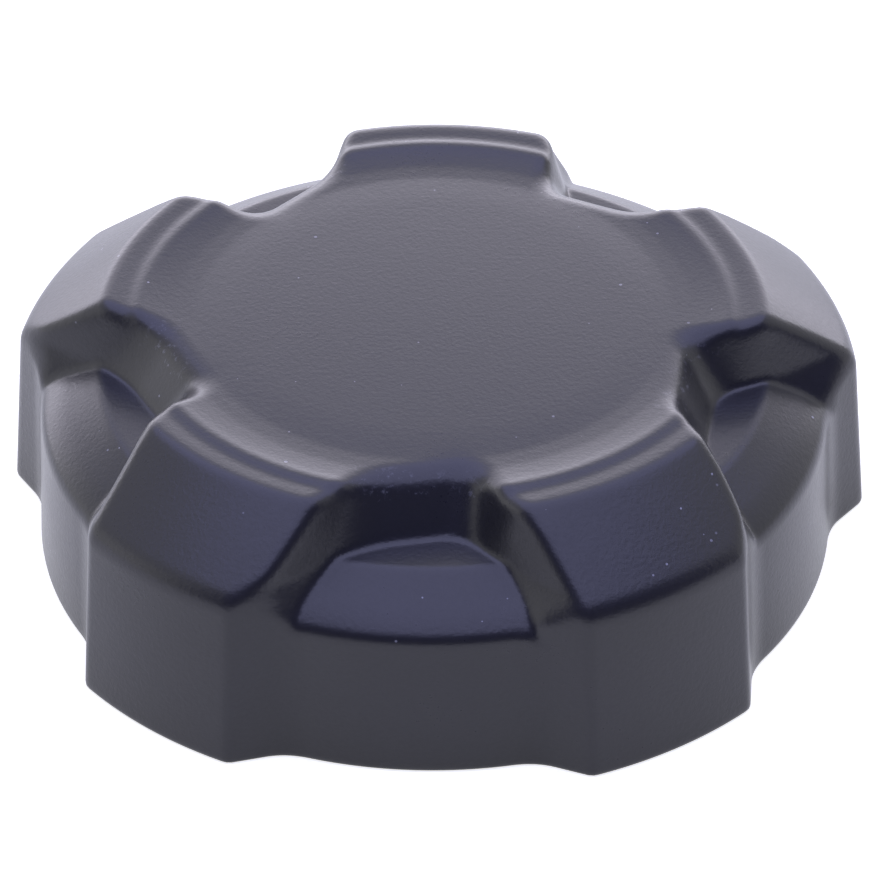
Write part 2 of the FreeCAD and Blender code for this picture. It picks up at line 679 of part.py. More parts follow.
# Valve housing pushed into the closure's tube
HOUSING_R = "(valve_bore_radius - push_clearance)"
HOUSING_IN = "housing_bore_radius"
HOUSING_TOP = "(tube_top + housing_flange_thickness)"
CAP_BOTTOM = "(tube_top + housing_flange_thickness - spring_cap_thickness)"
housing = turned("valve_housing", [
    (HOUSING_IN, "housing_bottom"),
    (HOUSING_R + " - 0.5", "housing_bottom"),
    (HOUSING_R, "housing_bottom + 0.5"),
    (HOUSING_R, "seal_groove_height"),
    (HOUSING_R + " - seal_ring_thickness", "seal_groove_height"),
    (HOUSING_R + " - seal_ring_thickness", "seal_groove_height + seal_ring_thickness + 0.4"),
    (HOUSING_R, "seal_groove_height + seal_ring_thickness + 0.4"),
    (HOUSING_R, "tube_top"),
    (HOUSING_R + " + housing_flange_width", "tube_top"),
    (HOUSING_R + " + housing_flange_width", HOUSING_TOP),
    (HOUSING_IN + " + 1.3", HOUSING_TOP),
    (HOUSING_IN + " + 1.3", CAP_BOTTOM),
    (HOUSING_IN, CAP_BOTTOM),
    (HOUSING_IN, "valve_seat_bottom + valve_seat_thickness"),
    ("valve_seat_opening + 1.4", "valve_seat_bottom + valve_seat_thickness"),
    ("valve_seat_opening + 1.2", "valve_seat_bottom + valve_seat_thickness + valve_seat_bead"),
    ("valve_seat_opening + 0.8", "valve_seat_bottom + valve_seat_thickness + valve_seat_bead"),
    ("valve_seat_opening + 0.6", "valve_seat_bottom + valve_seat_thickness"),
    ("valve_seat_opening", "valve_seat_bottom + valve_seat_thickness"),
    ("valve_seat_opening", "valve_seat_bottom"),
    (HOUSING_IN, "valve_seat_bottom"),
])

# Seal ring in the housing's groove
seal_ring = doc.addObject("Part::Torus", "HousingSeal")
seal_ring.Label = "housing_seal"
seal_ring.setExpression("Radius2", bound("seal_ring_thickness / 2"))
seal_ring.setExpression("Radius1", bound("valve_bore_radius - 0.02 - seal_ring_thickness / 2"))
seal_ring.setExpression("Placement.Base.z", bound("seal_groove_height + seal_ring_thickness / 2 + 0.2"))

# Pressure-relief plate with its rubber seal, held down on the housing's seat
SEAT_TOP = "(valve_seat_bottom + valve_seat_thickness + valve_seat_bead)"
PLATE_BOTTOM = "(" + SEAT_TOP + " + pressure_seal_thickness)"
PLATE_TOP = "(" + PLATE_BOTTOM + " + plate_thickness)"
turned("pressure_plate", [
    ("plate_hole_radius", PLATE_BOTTOM),
    ("plate_radius", PLATE_BOTTOM),
    ("plate_radius", PLATE_TOP),
    ("plate_hole_radius + 1.2 + plate_collar_wall", PLATE_TOP),
    ("plate_hole_radius + 1.2 + plate_collar_wall", PLATE_TOP + " + plate_collar_height"),
    ("plate_hole_radius + 1.2", PLATE_TOP + " + plate_collar_height"),
    ("plate_hole_radius + 1.2", PLATE_TOP),
    ("plate_hole_radius", PLATE_TOP),
])
turned("pressure_seal", [
    ("pressure_seal_bore", SEAT_TOP),
    ("plate_radius - pressure_seal_margin", SEAT_TOP),
    ("plate_radius - pressure_seal_margin", PLATE_BOTTOM),
    ("pressure_seal_bore", PLATE_BOTTOM),
])

# Vacuum valve: a small poppet that opens downwards through the pressure plate
VACUUM_TOP = "(" + PLATE_BOTTOM + " - vacuum_seal_thickness)"
turned("vacuum_valve", [
    ("0", VACUUM_TOP + " - vacuum_disc_thickness"),
    ("vacuum_disc_radius - 0.2", VACUUM_TOP + " - vacuum_disc_thickness"),
    ("vacuum_disc_radius", VACUUM_TOP + " - vacuum_disc_thickness + 0.2"),
    ("vacuum_disc_radius", VACUUM_TOP),
    ("vacuum_stem_radius", VACUUM_TOP),
    ("vacuum_stem_radius", "vacuum_stem_height + 0.3"),
    ("vacuum_stem_radius - 0.3", "vacuum_stem_height + 0.6"),
    ("0", "vacuum_stem_height + 0.6"),
])
turned("vacuum_seal", [
    ("plate_hole_radius + 0.3", VACUUM_TOP),
    ("vacuum_disc_radius - 0.2", VACUUM_TOP),
    ("vacuum_disc_radius - 0.2", PLATE_BOTTOM),
    ("plate_hole_radius + 0.3", PLATE_BOTTOM),
])
turned("stem_collar", [
    ("vacuum_stem_radius", "vacuum_stem_height - stem_collar_thickness"),
    ("stem_collar_radius", "vacuum_stem_height - stem_collar_thickness"),
    ("stem_collar_radius", "vacuum_stem_height"),
    ("vacuum_stem_radius", "vacuum_stem_height"),
])

# Springs of round wire
coil("pressure_spring", "pressure_coil_radius", "pressure_wire",
     PLATE_TOP + " + pressure_wire / 2 + 0.02",
     CAP_BOTTOM + " - " + PLATE_TOP + " - pressure_wire - 0.04", "pressure_coils")
coil("vacuum_spring", "vacuum_coil_radius", "vacuum_wire",
     PLATE_TOP + " + vacuum_wire / 2 + 0.02",
     "vacuum_stem_height - stem_collar_thickness - " + PLATE_TOP + " - vacuum_wire - 0.04", "vacuum_coils")

# Vented cap that closes the housing and holds the pressure spring down
spring_cap = turned("spring_cap", [
    ("0", CAP_BOTTOM),
    (HOUSING_IN + " + 1.2", CAP_BOTTOM),
    (HOUSING_IN + " + 1.2", HOUSING_TOP),
    ("0", HOUSING_TOP),
])
vent = padded(spring_cap, "VentHole", lambda sketch: circle(sketch, "vent_hole_circle", "0", "vent_hole_radius"),
              CAP_BOTTOM + " - 1", "spring_cap_thickness + 2", "PartDesign::Pocket", True)
doc.recompute()
ring_pattern(spring_cap, "VentHoles", vent, "vent_hole_count")

# Splash baffle at the housing's lower mouth
baffle = turned("splash_baffle", [
    ("0", "housing_bottom"),
    (HOUSING_IN + " - 0.05", "housing_bottom"),
    (HOUSING_IN + " - 0.05", "housing_bottom + baffle_thickness"),
    ("0", "housing_bottom + baffle_thickness"),
])
drain = padded(baffle, "DrainHole", lambda sketch: circle(sketch, "vent_hole_circle", "0", "baffle_slot_radius"),
               "housing_bottom - 1", "baffle_thickness + 2", "PartDesign::Pocket", True)
doc.recompute()
ring_pattern(baffle, "DrainHoles", drain, "vent_hole_count")

# Foam dust filter on the vented cap
turned("dust_filter", [
    ("0", HOUSING_TOP),
    ("filter_radius", HOUSING_TOP),
    ("filter_radius", HOUSING_TOP + " + filter_thickness"),
    ("0", HOUSING_TOP + " + filter_thickness"),
])

doc.recompute()
NODES = [
    "cover", "retaining_ring", "closure", "neck_gasket", "slip_washer", "ratchet_hub", "pawl_spring",
    "valve_housing", "housing_seal", "spring_cap", "splash_baffle", "dust_filter",
    "pressure_plate", "pressure_seal", "pressure_spring",
    "vacuum_valve", "vacuum_seal", "stem_collar", "vacuum_spring",
]
for item in doc.Objects:
    if "Invalid" in item.State or "Error" in item.State:
        raise SystemExit("failed: " + item.Name)
made = {item.Label: item for item in doc.Objects}
for label in NODES:
    shape = made[label].Shape
    if shape.isNull() or not shape.isValid() or len(shape.Solids) != 1:
        raise SystemExit("bad shape: " + label)
os.makedirs("parts", exist_ok=True)
for label in NODES:
    made[label].Shape.exportStep("parts/" + label + ".step")
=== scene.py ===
import bpy
import numpy as np
from mathutils import Matrix


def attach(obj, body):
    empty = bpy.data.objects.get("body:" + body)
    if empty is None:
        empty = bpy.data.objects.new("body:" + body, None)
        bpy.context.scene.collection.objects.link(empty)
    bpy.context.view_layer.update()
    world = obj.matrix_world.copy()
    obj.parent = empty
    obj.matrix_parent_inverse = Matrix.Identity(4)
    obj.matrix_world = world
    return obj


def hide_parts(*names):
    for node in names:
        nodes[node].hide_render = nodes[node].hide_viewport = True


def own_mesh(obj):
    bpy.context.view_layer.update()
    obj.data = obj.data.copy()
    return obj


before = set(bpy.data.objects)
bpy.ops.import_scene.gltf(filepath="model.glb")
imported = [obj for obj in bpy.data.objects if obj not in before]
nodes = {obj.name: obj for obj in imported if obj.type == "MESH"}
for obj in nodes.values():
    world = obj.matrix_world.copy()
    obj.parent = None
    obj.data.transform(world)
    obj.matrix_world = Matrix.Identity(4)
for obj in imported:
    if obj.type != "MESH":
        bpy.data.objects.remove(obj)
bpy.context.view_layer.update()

# Grip cover: the five-lobed black cap that the hand turns, injection moulded in one piece.
# Its edges are blended with the mould's soft radii, so it is built as one smooth skin over
# the plain CAD solid, hollow inside, and its whole surface has a fine spark-eroded grain.
MM = 0.001
LOBES = 5
LOBE_STEP = 360.0 / LOBES
POCKET_TURN = 126.0
DISC_RADIUS = 23.0
DISC_HEIGHT = 24.5
DISC_CROWN = 0.6
BEVEL_MIDDLE = 36.6
BEVEL_HALF = 4.8
BEVEL_CROWN = 0.12
TOP_PROFILE = [
    (0.0, DISC_HEIGHT), (DISC_RADIUS, DISC_HEIGHT), (25.0, 24.57), (26.5, 24.76), (27.6, 24.94),
    (28.4, 25.15), (29.35, 24.83), (29.55, 24.85), (30.9, 24.97), (31.8, 25.0), (50.0, 11.25),
]
TOP_SOFTNESS = 0.33
TOP_STEP = 0.05
TOP_SPREAD = 30


def soft_less(a, b, soft):
    """The smaller of two distances, with a fillet where they are nearly the same."""
    part = np.clip(0.5 + 0.5 * (b - a) / soft, 0.0, 1.0)
    return b + (a - b) * part - soft * part * (1.0 - part)


def soft_more(a, b, soft):
    """The larger of two distances, with a fillet in the same way."""
    return -soft_less(-a, -b, soft)


top_radii = np.arange(0.0, TOP_PROFILE[-1][0], TOP_STEP)
top_heights = np.interp(top_radii, *zip(*TOP_PROFILE))
top_heights += DISC_CROWN * np.maximum(1.0 - (top_radii / DISC_RADIUS) ** 2, 0.0)
top_heights += BEVEL_CROWN * np.maximum(1.0 - ((top_radii - BEVEL_MIDDLE) / BEVEL_HALF) ** 2, 0.0)
spread = np.arange(-TOP_SPREAD, TOP_SPREAD + 1) * TOP_STEP
weights = np.exp(-0.5 * (spread / TOP_SOFTNESS) ** 2)
end_fall = top_heights[-2] - top_heights[-1]
before = np.full(TOP_SPREAD, top_heights[0])
after = top_heights[-1] - end_fall * np.arange(1, TOP_SPREAD + 1)
top_heights = np.convolve(np.concatenate([before, top_heights, after]), weights / weights.sum(), "valid")
top_slopes = np.gradient(top_heights, TOP_STEP)


def plan_line(u, v, start, end):
    """Signed distance from a line in plan; positive on the left of start to end."""
    along_u = end[0] - start[0]
    along_v = end[1] - start[1]
    return ((v - start[1]) * along_u - (u - start[0]) * along_v) / np.hypot(along_u, along_v)


LEDGE_HEIGHT = 19.0
LEDGE_RADIUS = 32.2
POCKET_RISE = 5.5
BACK_RADIUS = 28.2
BACK_LEAN = 3.4
BACK_SKEW = np.tan(np.radians(13.2))
MOUTH_RADIUS = 35.3
# These bring the leaning walls' fields near to true distances, so that their fillets come out even
BACK_STRETCH = 1.2
SIDE_EASE = 0.9
MOUTH_EASE = 0.85
# Each size is given at the ledge, with what it gains by one rise upwards and loses by one down
RIGHT_HALF = (4.5, 0.7, 3.3)
RIGHT_JOINT = ((30.3, -1.3, 0.0), (7.4, 1.0, 3.3))
LEFT_HALF = (4.6, 0.0, 3.3)
LEFT_JOINT = ((32.2, -1.8, 0.0), (-7.9, -0.4, -3.3))
RIGHT_MOUTH = [(-1.0, 7.4), (-0.58, 10.3), (0.0, 13.8), (0.7, 15.8), (1.1, 15.6)]
LEFT_MOUTH = [(-1.0, -8.0), (0.0, -11.8), (1.1, -13.6)]
RIGHT_JOINT_SOFT = 0.5
LEFT_JOINT_SOFT = 1.2
RIGHT_CORNER_SOFT = 2.2
LEFT_CORNER_SOFT = 1.5


def at_height(size, high, low):
    """A size of the pocket at a height; high counts rises above the ledge, low those below it."""
    return size[0] + size[1] * high + size[2] * low


def pocket_field(u, v, z):
    """Thumb pocket between two lobes: negative inside it. Its back wall leans and is set askew."""
    rise = (z - LEDGE_HEIGHT) / POCKET_RISE
    high = np.maximum(rise, 0.0)
    low = np.minimum(rise, 0.0)
    back = (BACK_RADIUS - BACK_LEAN * rise - BACK_SKEW * v - u) / BACK_STRETCH
    corner = BACK_RADIUS - BACK_LEAN * high
    right_half = at_height(RIGHT_HALF, high, low)
    right_joint = [at_height(size, high, low) for size in RIGHT_JOINT]
    right_end = (MOUTH_RADIUS, np.interp(rise, *zip(*RIGHT_MOUTH)))
    left_half = at_height(LEFT_HALF, high, low)
    left_joint = [at_height(size, high, low) for size in LEFT_JOINT]
    left_end = (MOUTH_RADIUS, np.interp(rise, *zip(*LEFT_MOUTH)))
    right = plan_line(u, v, (corner - BACK_SKEW * right_half, right_half), right_joint) * SIDE_EASE
    right = soft_less(right, plan_line(u, v, right_joint, right_end) * MOUTH_EASE, RIGHT_JOINT_SOFT)
    left = -plan_line(u, v, (corner + BACK_SKEW * left_half, -left_half), left_joint) * SIDE_EASE
    left = soft_less(left, -plan_line(u, v, left_joint, left_end) * MOUTH_EASE, LEFT_JOINT_SOFT)
    return soft_more(soft_more(back, left, LEFT_CORNER_SOFT), right, RIGHT_CORNER_SOFT)


CONE_FALL = 0.588
LIP_RADIUS = 37.2
LIP_HEIGHT = 16.05
LIP_FALL = 1.15
LIP_END = 38.6
LIP_SOFT = 0.7
LEDGE_SOFT = 0.25
POCKET_EDGE_SOFT = [(24.0, 1.7), (26.0, 1.6), (28.0, 1.15), (32.0, 1.15), (34.0, 0.8)]
POCKET_FOOT_SOFT = 0.4
LOBE_RADIUS = 41.0
LOBE_TOP = 17.4
LOBE_DRAFT = 1.3 / LOBE_TOP
LOBE_EDGE_TURN = np.radians(23.8)
LOBE_EDGE_SOFT = 0.35
SKIRT_RADIUS = 38.1
SKIRT_TOP = 15.4
SKIRT_DRAFT = 0.65 / SKIRT_TOP
SKIRT_EDGE_TURN = np.radians(17.4)
SKIRT_EDGE_SOFT = 1.2
SHOULDER_SOFT = [(15.8, 0.6), (17.2, 1.1)]


def from_nearest(turn, first):
    """Degrees from the nearest of five even directions, one of which is first."""
    return (turn - first + 0.5 * LOBE_STEP) % LOBE_STEP - 0.5 * LOBE_STEP


def cone_field(r, z):
    """Distance above the cone that falls away from the ledge."""
    return (z - LEDGE_HEIGHT + CONE_FALL * (r - LEDGE_RADIUS)) / np.hypot(1.0, CONE_FALL)


def grip_field(r, turn, z):
    """Distance from the cover's outer skin, negative inside. turn is in degrees about the axis."""
    off = np.radians(from_nearest(turn, POCKET_TURN))
    u = r * np.cos(off)
    v = r * np.sin(off)
    slope = np.interp(r, top_radii, top_slopes)
    top = (z - np.interp(r, top_radii, top_heights)) / np.sqrt(1.0 + slope ** 2)
    lip = (z - LIP_HEIGHT + LIP_FALL * (np.minimum(r, LIP_END) - LIP_RADIUS)) / np.hypot(1.0, LIP_FALL)
    ledge = soft_more(z - LEDGE_HEIGHT, soft_more(cone_field(r, z), lip, LIP_SOFT), LEDGE_SOFT)
    lobes = soft_more(top, -pocket_field(u, v, z), np.interp(r, *zip(*POCKET_EDGE_SOFT)))
    body = soft_less(ledge, lobes, POCKET_FOOT_SOFT)
    lobe_r = LOBE_RADIUS + LOBE_DRAFT * (LOBE_TOP - z)
    skirt_r = SKIRT_RADIUS + SKIRT_DRAFT * (SKIRT_TOP - z)
    foot = (skirt_r * np.cos(SKIRT_EDGE_TURN), skirt_r * np.sin(SKIRT_EDGE_TURN))
    edge = (lobe_r * np.cos(LOBE_EDGE_TURN), lobe_r * np.sin(LOBE_EDGE_TURN))
    ramp = -plan_line(u, np.abs(v), foot, edge)
    plan = soft_less(r - skirt_r, soft_more(r - lobe_r, ramp, LOBE_EDGE_SOFT), SKIRT_EDGE_SOFT)
    return soft_more(body, plan, np.interp(z, *zip(*SHOULDER_SOFT)))


WALL = 2.5
ROOF_HEIGHT = 22.0
CORE_RADIUS = 21.05
CORE_FLARE = 0.573
CORE_EASE = 0.87
BORE_RADIUS = 35.9
GROOVE_RADIUS = 36.4
GROOVE_BOTTOM = 1.5
GROOVE_TOP = 3.3
LOBE_HOLLOW_RADIUS = 39.7
LOBE_HOLLOW_HALF = 8.6
LOBE_HOLLOW_TAPER = 0.17
TAPER_HEIGHT = 14.0
BEVEL_RADIUS = 31.7
BEVEL_HEIGHT = 24.85
BEVEL_FALL = 0.8
BEVEL_STRETCH = 1.28
MOUTH_FILLET = 0.3
LEDGE_FILLET = 0.4
JOIN_FILLET = 0.5
ROOF_FILLET = 0.6
SIDE_FILLET = 0.8


def hollow_field(r, turn, z):
    """Distance from the cover's inner skin, negative in the hollow."""
    off = np.radians(from_nearest(turn, POCKET_TURN - 0.5 * LOBE_STEP))
    across = np.abs(r * np.sin(off))
    under_ledge = soft_more(z - LEDGE_HEIGHT + WALL, cone_field(r, z) + WALL, LEDGE_FILLET)
    core_side = (r - CORE_RADIUS - (ROOF_HEIGHT - z) * CORE_FLARE) * CORE_EASE
    core = soft_more(z - ROOF_HEIGHT, core_side, ROOF_FILLET)
    bore = soft_more(r - BORE_RADIUS, soft_less(under_ledge, core, SIDE_FILLET), MOUTH_FILLET)
    groove = np.maximum(r - GROOVE_RADIUS, np.maximum(GROOVE_BOTTOM - z, z - GROOVE_TOP))
    under_bevel = (z - BEVEL_HEIGHT + BEVEL_FALL * (r - BEVEL_RADIUS)) / BEVEL_STRETCH + WALL
    lobe_side = across - LOBE_HOLLOW_HALF + LOBE_HOLLOW_TAPER * np.maximum(z - TAPER_HEIGHT, 0.0)
    lobe_wall = soft_more(r - LOBE_HOLLOW_RADIUS + LOBE_DRAFT * z, lobe_side, SIDE_FILLET)
    lobe = soft_more(lobe_wall, soft_more(under_bevel, z - ROOF_HEIGHT, ROOF_FILLET), SIDE_FILLET)
    return np.minimum(soft_less(bore, lobe, JOIN_FILLET), groove)


COLUMNS = 600
HALVINGS = 34
columns = np.arange(COLUMNS) * 2.0 * np.pi / COLUMNS


def reach_skin(field, start_r, start_z, lift, far):
    """Marches from inside along fixed directions, one row per start, and gives where each meets the skin."""
    turn = np.degrees(columns)[None, :]
    cos_l = np.cos(lift)[:, None]
    sin_l = np.sin(lift)[:, None]
    low = np.zeros((len(lift), len(columns)))
    high = np.full_like(low, far)
    for _ in range(HALVINGS):
        middle = 0.5 * (low + high)
        inside = field(start_r[:, None] + middle * cos_l, turn, start_z[:, None] + middle * sin_l) < 0.0
        low = np.where(inside, middle, low)
        high = np.where(inside, high, middle)
    return start_r[:, None] + low * cos_l, start_z[:, None] + low * sin_l


# Outside: rows straight up to the disc, a fan round the bevel and rows level to the skirt
OUTER_FAR = 22.0
FAN_RADIUS = 27.75
FAN_HEIGHT = 8.0
FAN_ROWS = 66
disc_radii = np.concatenate([[18.0, 21.0], np.arange(22.5, 27.5, 0.26)])
skirt_heights = np.array([7.0, 5.5, 4.0, 2.5, 1.2, 0.6])
start_r = np.concatenate([disc_radii, np.full(FAN_ROWS + len(skirt_heights), FAN_RADIUS)])
start_z = np.concatenate([np.full(len(disc_radii) + FAN_ROWS, FAN_HEIGHT), skirt_heights])
fan = np.radians(np.linspace(90.0, 0.0, FAN_ROWS))
lift = np.concatenate([np.full(len(disc_radii), np.pi / 2), fan, np.zeros(len(skirt_heights))])
skin_r, skin_z = reach_skin(grip_field, start_r, start_z, lift, OUTER_FAR)

# The rim's outer edge is rounded
RIM_ROUND = 0.5
rim_heights = np.array([0.3, 0.13, 0.03, 0.0])
rim_starts = np.full(len(rim_heights), FAN_RADIUS)
rim_r, rim_z = reach_skin(grip_field, rim_starts, rim_heights, np.zeros(len(rim_heights)), OUTER_FAR)
rim_r -= (RIM_ROUND - np.sqrt(np.maximum(RIM_ROUND ** 2 - (RIM_ROUND - rim_heights) ** 2, 0.0)))[:, None]

# Inside: rows level to the bore and its snap groove, a fan to the roof and rows straight up to it
INNER_FAR = 24.0
INNER_RADIUS = 20.0
INNER_HEIGHT = 11.0
INNER_ROWS = 34
GROOVE_NEAR = 0.01
bore_heights = np.array([
    0.0, GROOVE_BOTTOM - GROOVE_NEAR, GROOVE_BOTTOM + GROOVE_NEAR, GROOVE_TOP - GROOVE_NEAR,
    GROOVE_TOP + GROOVE_NEAR, 6.0, 9.0,
])
roof_radii = np.array([17.0, 12.0, 6.0])
start_r = np.concatenate([np.full(len(bore_heights) + INNER_ROWS, INNER_RADIUS), roof_radii])
start_z = np.concatenate([bore_heights, np.full(INNER_ROWS + len(roof_radii), INNER_HEIGHT)])
inner_fan = np.radians(np.linspace(0.0, 90.0, INNER_ROWS))
lift = np.concatenate([np.zeros(len(bore_heights)), inner_fan, np.full(len(roof_radii), np.pi / 2)])
hollow_r, hollow_z = reach_skin(hollow_field, start_r, start_z, lift, INNER_FAR)
all_r = np.concatenate([skin_r, rim_r, hollow_r])
all_z = np.concatenate([skin_z, rim_z, hollow_z])
points = np.stack([all_r * np.cos(columns), all_r * np.sin(columns), all_z], -1).reshape(-1, 3)


def grid_faces(rows, count, first=0):
    """Quads of a closed band of rows, counted round the axis."""
    row_starts = first + np.arange(rows - 1)[:, None] * count
    a = row_starts + np.arange(count)[None, :]
    b = row_starts + (np.arange(count)[None, :] + 1) % count
    return np.stack([a, a + count, b + count, b], -1).reshape(-1, 4).tolist()


def new_piece(name, verts, faces, smooth=True):
    """Puts a mesh into the scene as an object."""
    mesh = bpy.data.meshes.new(name)
    mesh.from_pydata([tuple(p) for p in np.asarray(verts, float)], [], faces)
    mesh.validate()
    mesh.update()
    if smooth:
        mesh.shade_smooth()
    piece = bpy.data.objects.new(name, mesh)
    bpy.context.scene.collection.objects.link(piece)
    return piece


faces = grid_faces(len(all_r), COLUMNS)
last = (len(all_r) - 1) * COLUMNS
faces.append(list(range(COLUMNS)))
faces.append([last + i for i in reversed(range(COLUMNS))])

# The ring of saw teeth under the disc, which the pawls click over
TEETH = 36
TOOTH = [(0.0, 22.8), (0.5, 22.2), (0.97, 21.6)]
TEETH_TOP = 21.0
TEETH_BOTTOM = 15.1
TEETH_BACK = [(24.6, TEETH_BOTTOM), (24.8, 15.4), (24.8, 17.6), (22.6, TEETH_TOP)]
tooth_turns = np.array([(k + step) * 2.0 * np.pi / TEETH for k in range(TEETH) for step, _ in TOOTH])
tooth_radii = np.array([radius for _, radius in TOOTH] * TEETH)
count = len(tooth_turns)
tooth_rows = []
for radii, height in [(tooth_radii, TEETH_TOP), (tooth_radii, TEETH_BOTTOM)] + TEETH_BACK:
    heights = np.full(count, height)
    tooth_rows.append(np.stack([radii * np.cos(tooth_turns), radii * np.sin(tooth_turns), heights], -1))
first = len(points)
final = first + (len(tooth_rows) - 1) * count
faces += grid_faces(len(tooth_rows), count, first)
for i in range(count):
    j = (i + 1) % count
    faces.append([final + i, first + i, first + j, final + j])
points = np.concatenate([points] + tooth_rows)
cover_skin = new_piece("grip_cover", points * MM, faces)


def group_sockets(group, inputs, outputs):
    """Names what a node group takes and gives, and returns its two end nodes."""
    for label, kind, default in inputs:
        socket = group.interface.new_socket(label, in_out="INPUT", socket_type=kind)
        socket.default_value = default
    for label, kind in outputs:
        group.interface.new_socket(label, in_out="OUTPUT", socket_type=kind)
    return group.nodes.new("NodeGroupInput"), group.nodes.new("NodeGroupOutput")


def value_math(tree, operation, a, b=None, clamp=False):
    """A sum or other operation on sockets or plain numbers."""
    node = tree.nodes.new("ShaderNodeMath")
    node.operation = operation
    node.use_clamp = clamp
    for index, item in enumerate((a, b)):
        if item is None:
            continue
        if isinstance(item, (int, float)):
            node.inputs[index].default_value = item
        else:
            tree.links.new(item, node.inputs[index])
    return node.outputs[0]


def share_of(tree, a, share, b):
    """Mixes two values: share of the first, the rest of the second."""
    return value_math(
        tree, "ADD", value_math(tree, "MULTIPLY", a, share), value_math(tree, "MULTIPLY", b, 1.0 - share),
    )


def noise(tree, place, scale, detail=2.0, roughness=0.5):
    """Noise over a place; its scale is a socket or a plain number."""
    node = tree.nodes.new("ShaderNodeTexNoise")
    node.inputs["Detail"].default_value = detail
    node.inputs["Roughness"].default_value = roughness
    tree.links.new(place, node.inputs["Vector"])
    if isinstance(scale, (int, float)):
        node.inputs["Scale"].default_value = scale
    else:
        tree.links.new(scale, node.inputs["Scale"])
    return node.outputs["Fac"]


# Dust: small pale specks of two sizes that lie scattered on faces that look upwards
DUST_LAYERS = [
    {"cells": 330.0, "clean": 0.9, "width": 0.055},
    {"cells": 900.0, "clean": 0.92, "width": 0.12},
]
SPECK_LEAST = 0.02
SPECK_FAINTEST = 0.3
SETTLES_ABOVE = 0.35
dust = bpy.data.node_groups.new("settled_dust", "ShaderNodeTree")
given, made = group_sockets(
    dust,
    [("Place", "NodeSocketVector", (0.0, 0.0, 0.0)), ("Up", "NodeSocketFloat", 1.0)],
    [("Mask", "NodeSocketFloat")],
)
specks = 0.0
for layer in DUST_LAYERS:
    cells = dust.nodes.new("ShaderNodeTexVoronoi")
    cells.inputs["Scale"].default_value = layer["cells"]
    dust.links.new(given.outputs["Place"], cells.inputs["Vector"])
    chance = dust.nodes.new("ShaderNodeSeparateColor")
    dust.links.new(cells.outputs["Color"], chance.inputs["Color"])
    chosen = value_math(dust, "GREATER_THAN", chance.outputs["Red"], layer["clean"])
    width = value_math(dust, "MULTIPLY", chance.outputs["Green"], layer["width"])
    width = value_math(dust, "ADD", width, SPECK_LEAST)
    near = value_math(dust, "LESS_THAN", cells.outputs["Distance"], width)
    pale = value_math(dust, "MULTIPLY", chance.outputs["Blue"], 1.0 - SPECK_FAINTEST)
    near = value_math(dust, "MULTIPLY", near, value_math(dust, "ADD", pale, SPECK_FAINTEST))
    specks = value_math(dust, "MAXIMUM", value_math(dust, "MULTIPLY", chosen, near), specks)
settles = value_math(dust, "GREATER_THAN", given.outputs["Up"], SETTLES_ABOVE)
dust.links.new(value_math(dust, "MULTIPLY", specks, settles), made.inputs["Mask"])

# Moulded grain: what a spark-eroded mould leaves on plastic, as a height and a faint tone
moulded = bpy.data.node_groups.new("moulded_grain", "ShaderNodeTree")
given, made = group_sockets(
    moulded,
    [
        ("Place", "NodeSocketVector", (0.0, 0.0, 0.0)),
        ("Grain", "NodeSocketFloat", 3500.0),
        ("Cloud", "NodeSocketFloat", 60.0),
    ],
    [("Height", "NodeSocketFloat"), ("Tone", "NodeSocketFloat")],
)
fine = noise(moulded, given.outputs["Place"], given.outputs["Grain"], detail=3.0, roughness=0.6)
wider = value_math(moulded, "MULTIPLY", given.outputs["Grain"], 0.31)
coarse = noise(moulded, given.outputs["Place"], wider, detail=1.0)
cloud = noise(moulded, given.outputs["Place"], given.outputs["Cloud"], detail=3.0)
moulded.links.new(share_of(moulded, fine, 0.85, coarse), made.inputs["Height"])
moulded.links.new(share_of(moulded, fine, 0.45, cloud), made.inputs["Tone"])

NOISE_LOW = 0.3
NOISE_HIGH = 0.7


def ramp(tree, fac, low, high):
    """Runs from one colour to another over the middle of a noise."""
    node = tree.nodes.new("ShaderNodeValToRGB")
    node.color_ramp.elements[0].position = NOISE_LOW
    node.color_ramp.elements[1].position = NOISE_HIGH
    node.color_ramp.elements[0].color = (*low, 1.0)
    node.color_ramp.elements[1].color = (*high, 1.0)
    tree.links.new(fac, node.inputs["Fac"])
    return node.outputs["Color"]


def span(tree, fac, low, high):
    """Runs from one value to another over the middle of a noise."""
    node = tree.nodes.new("ShaderNodeMapRange")
    node.inputs["From Min"].default_value = NOISE_LOW
    node.inputs["From Max"].default_value = NOISE_HIGH
    node.inputs["To Min"].default_value = low
    node.inputs["To Max"].default_value = high
    tree.links.new(fac, node.inputs["Value"])
    return node.outputs["Result"]


def finish(name, group, mark, colours, gloss, depth, metal=0.0, ior=1.5, **given):
    """A material from a group that makes a height and a mark; colours and gloss run with the mark."""
    material = bpy.data.materials.new(name)
    material.use_nodes = True
    tree = material.node_tree
    shader = tree.nodes["Principled BSDF"]
    place = tree.nodes.new("ShaderNodeTexCoord").outputs["Object"]
    marks = tree.nodes.new("ShaderNodeGroup")
    marks.node_tree = group
    for label, value in given.items():
        marks.inputs[label].default_value = value
    tree.links.new(place, marks.inputs["Place"])
    tree.links.new(ramp(tree, marks.outputs[mark], *colours), shader.inputs["Base Color"])
    tree.links.new(span(tree, marks.outputs[mark], *gloss), shader.inputs["Roughness"])
    shader.inputs["Metallic"].default_value = metal
    shader.inputs["IOR"].default_value = ior
    bump = tree.nodes.new("ShaderNodeBump")
    bump.inputs["Strength"].default_value = 1.0
    bump.inputs["Distance"].default_value = depth
    tree.links.new(marks.outputs["Height"], bump.inputs["Height"])
    tree.links.new(bump.outputs["Normal"], shader.inputs["Normal"])
    return material


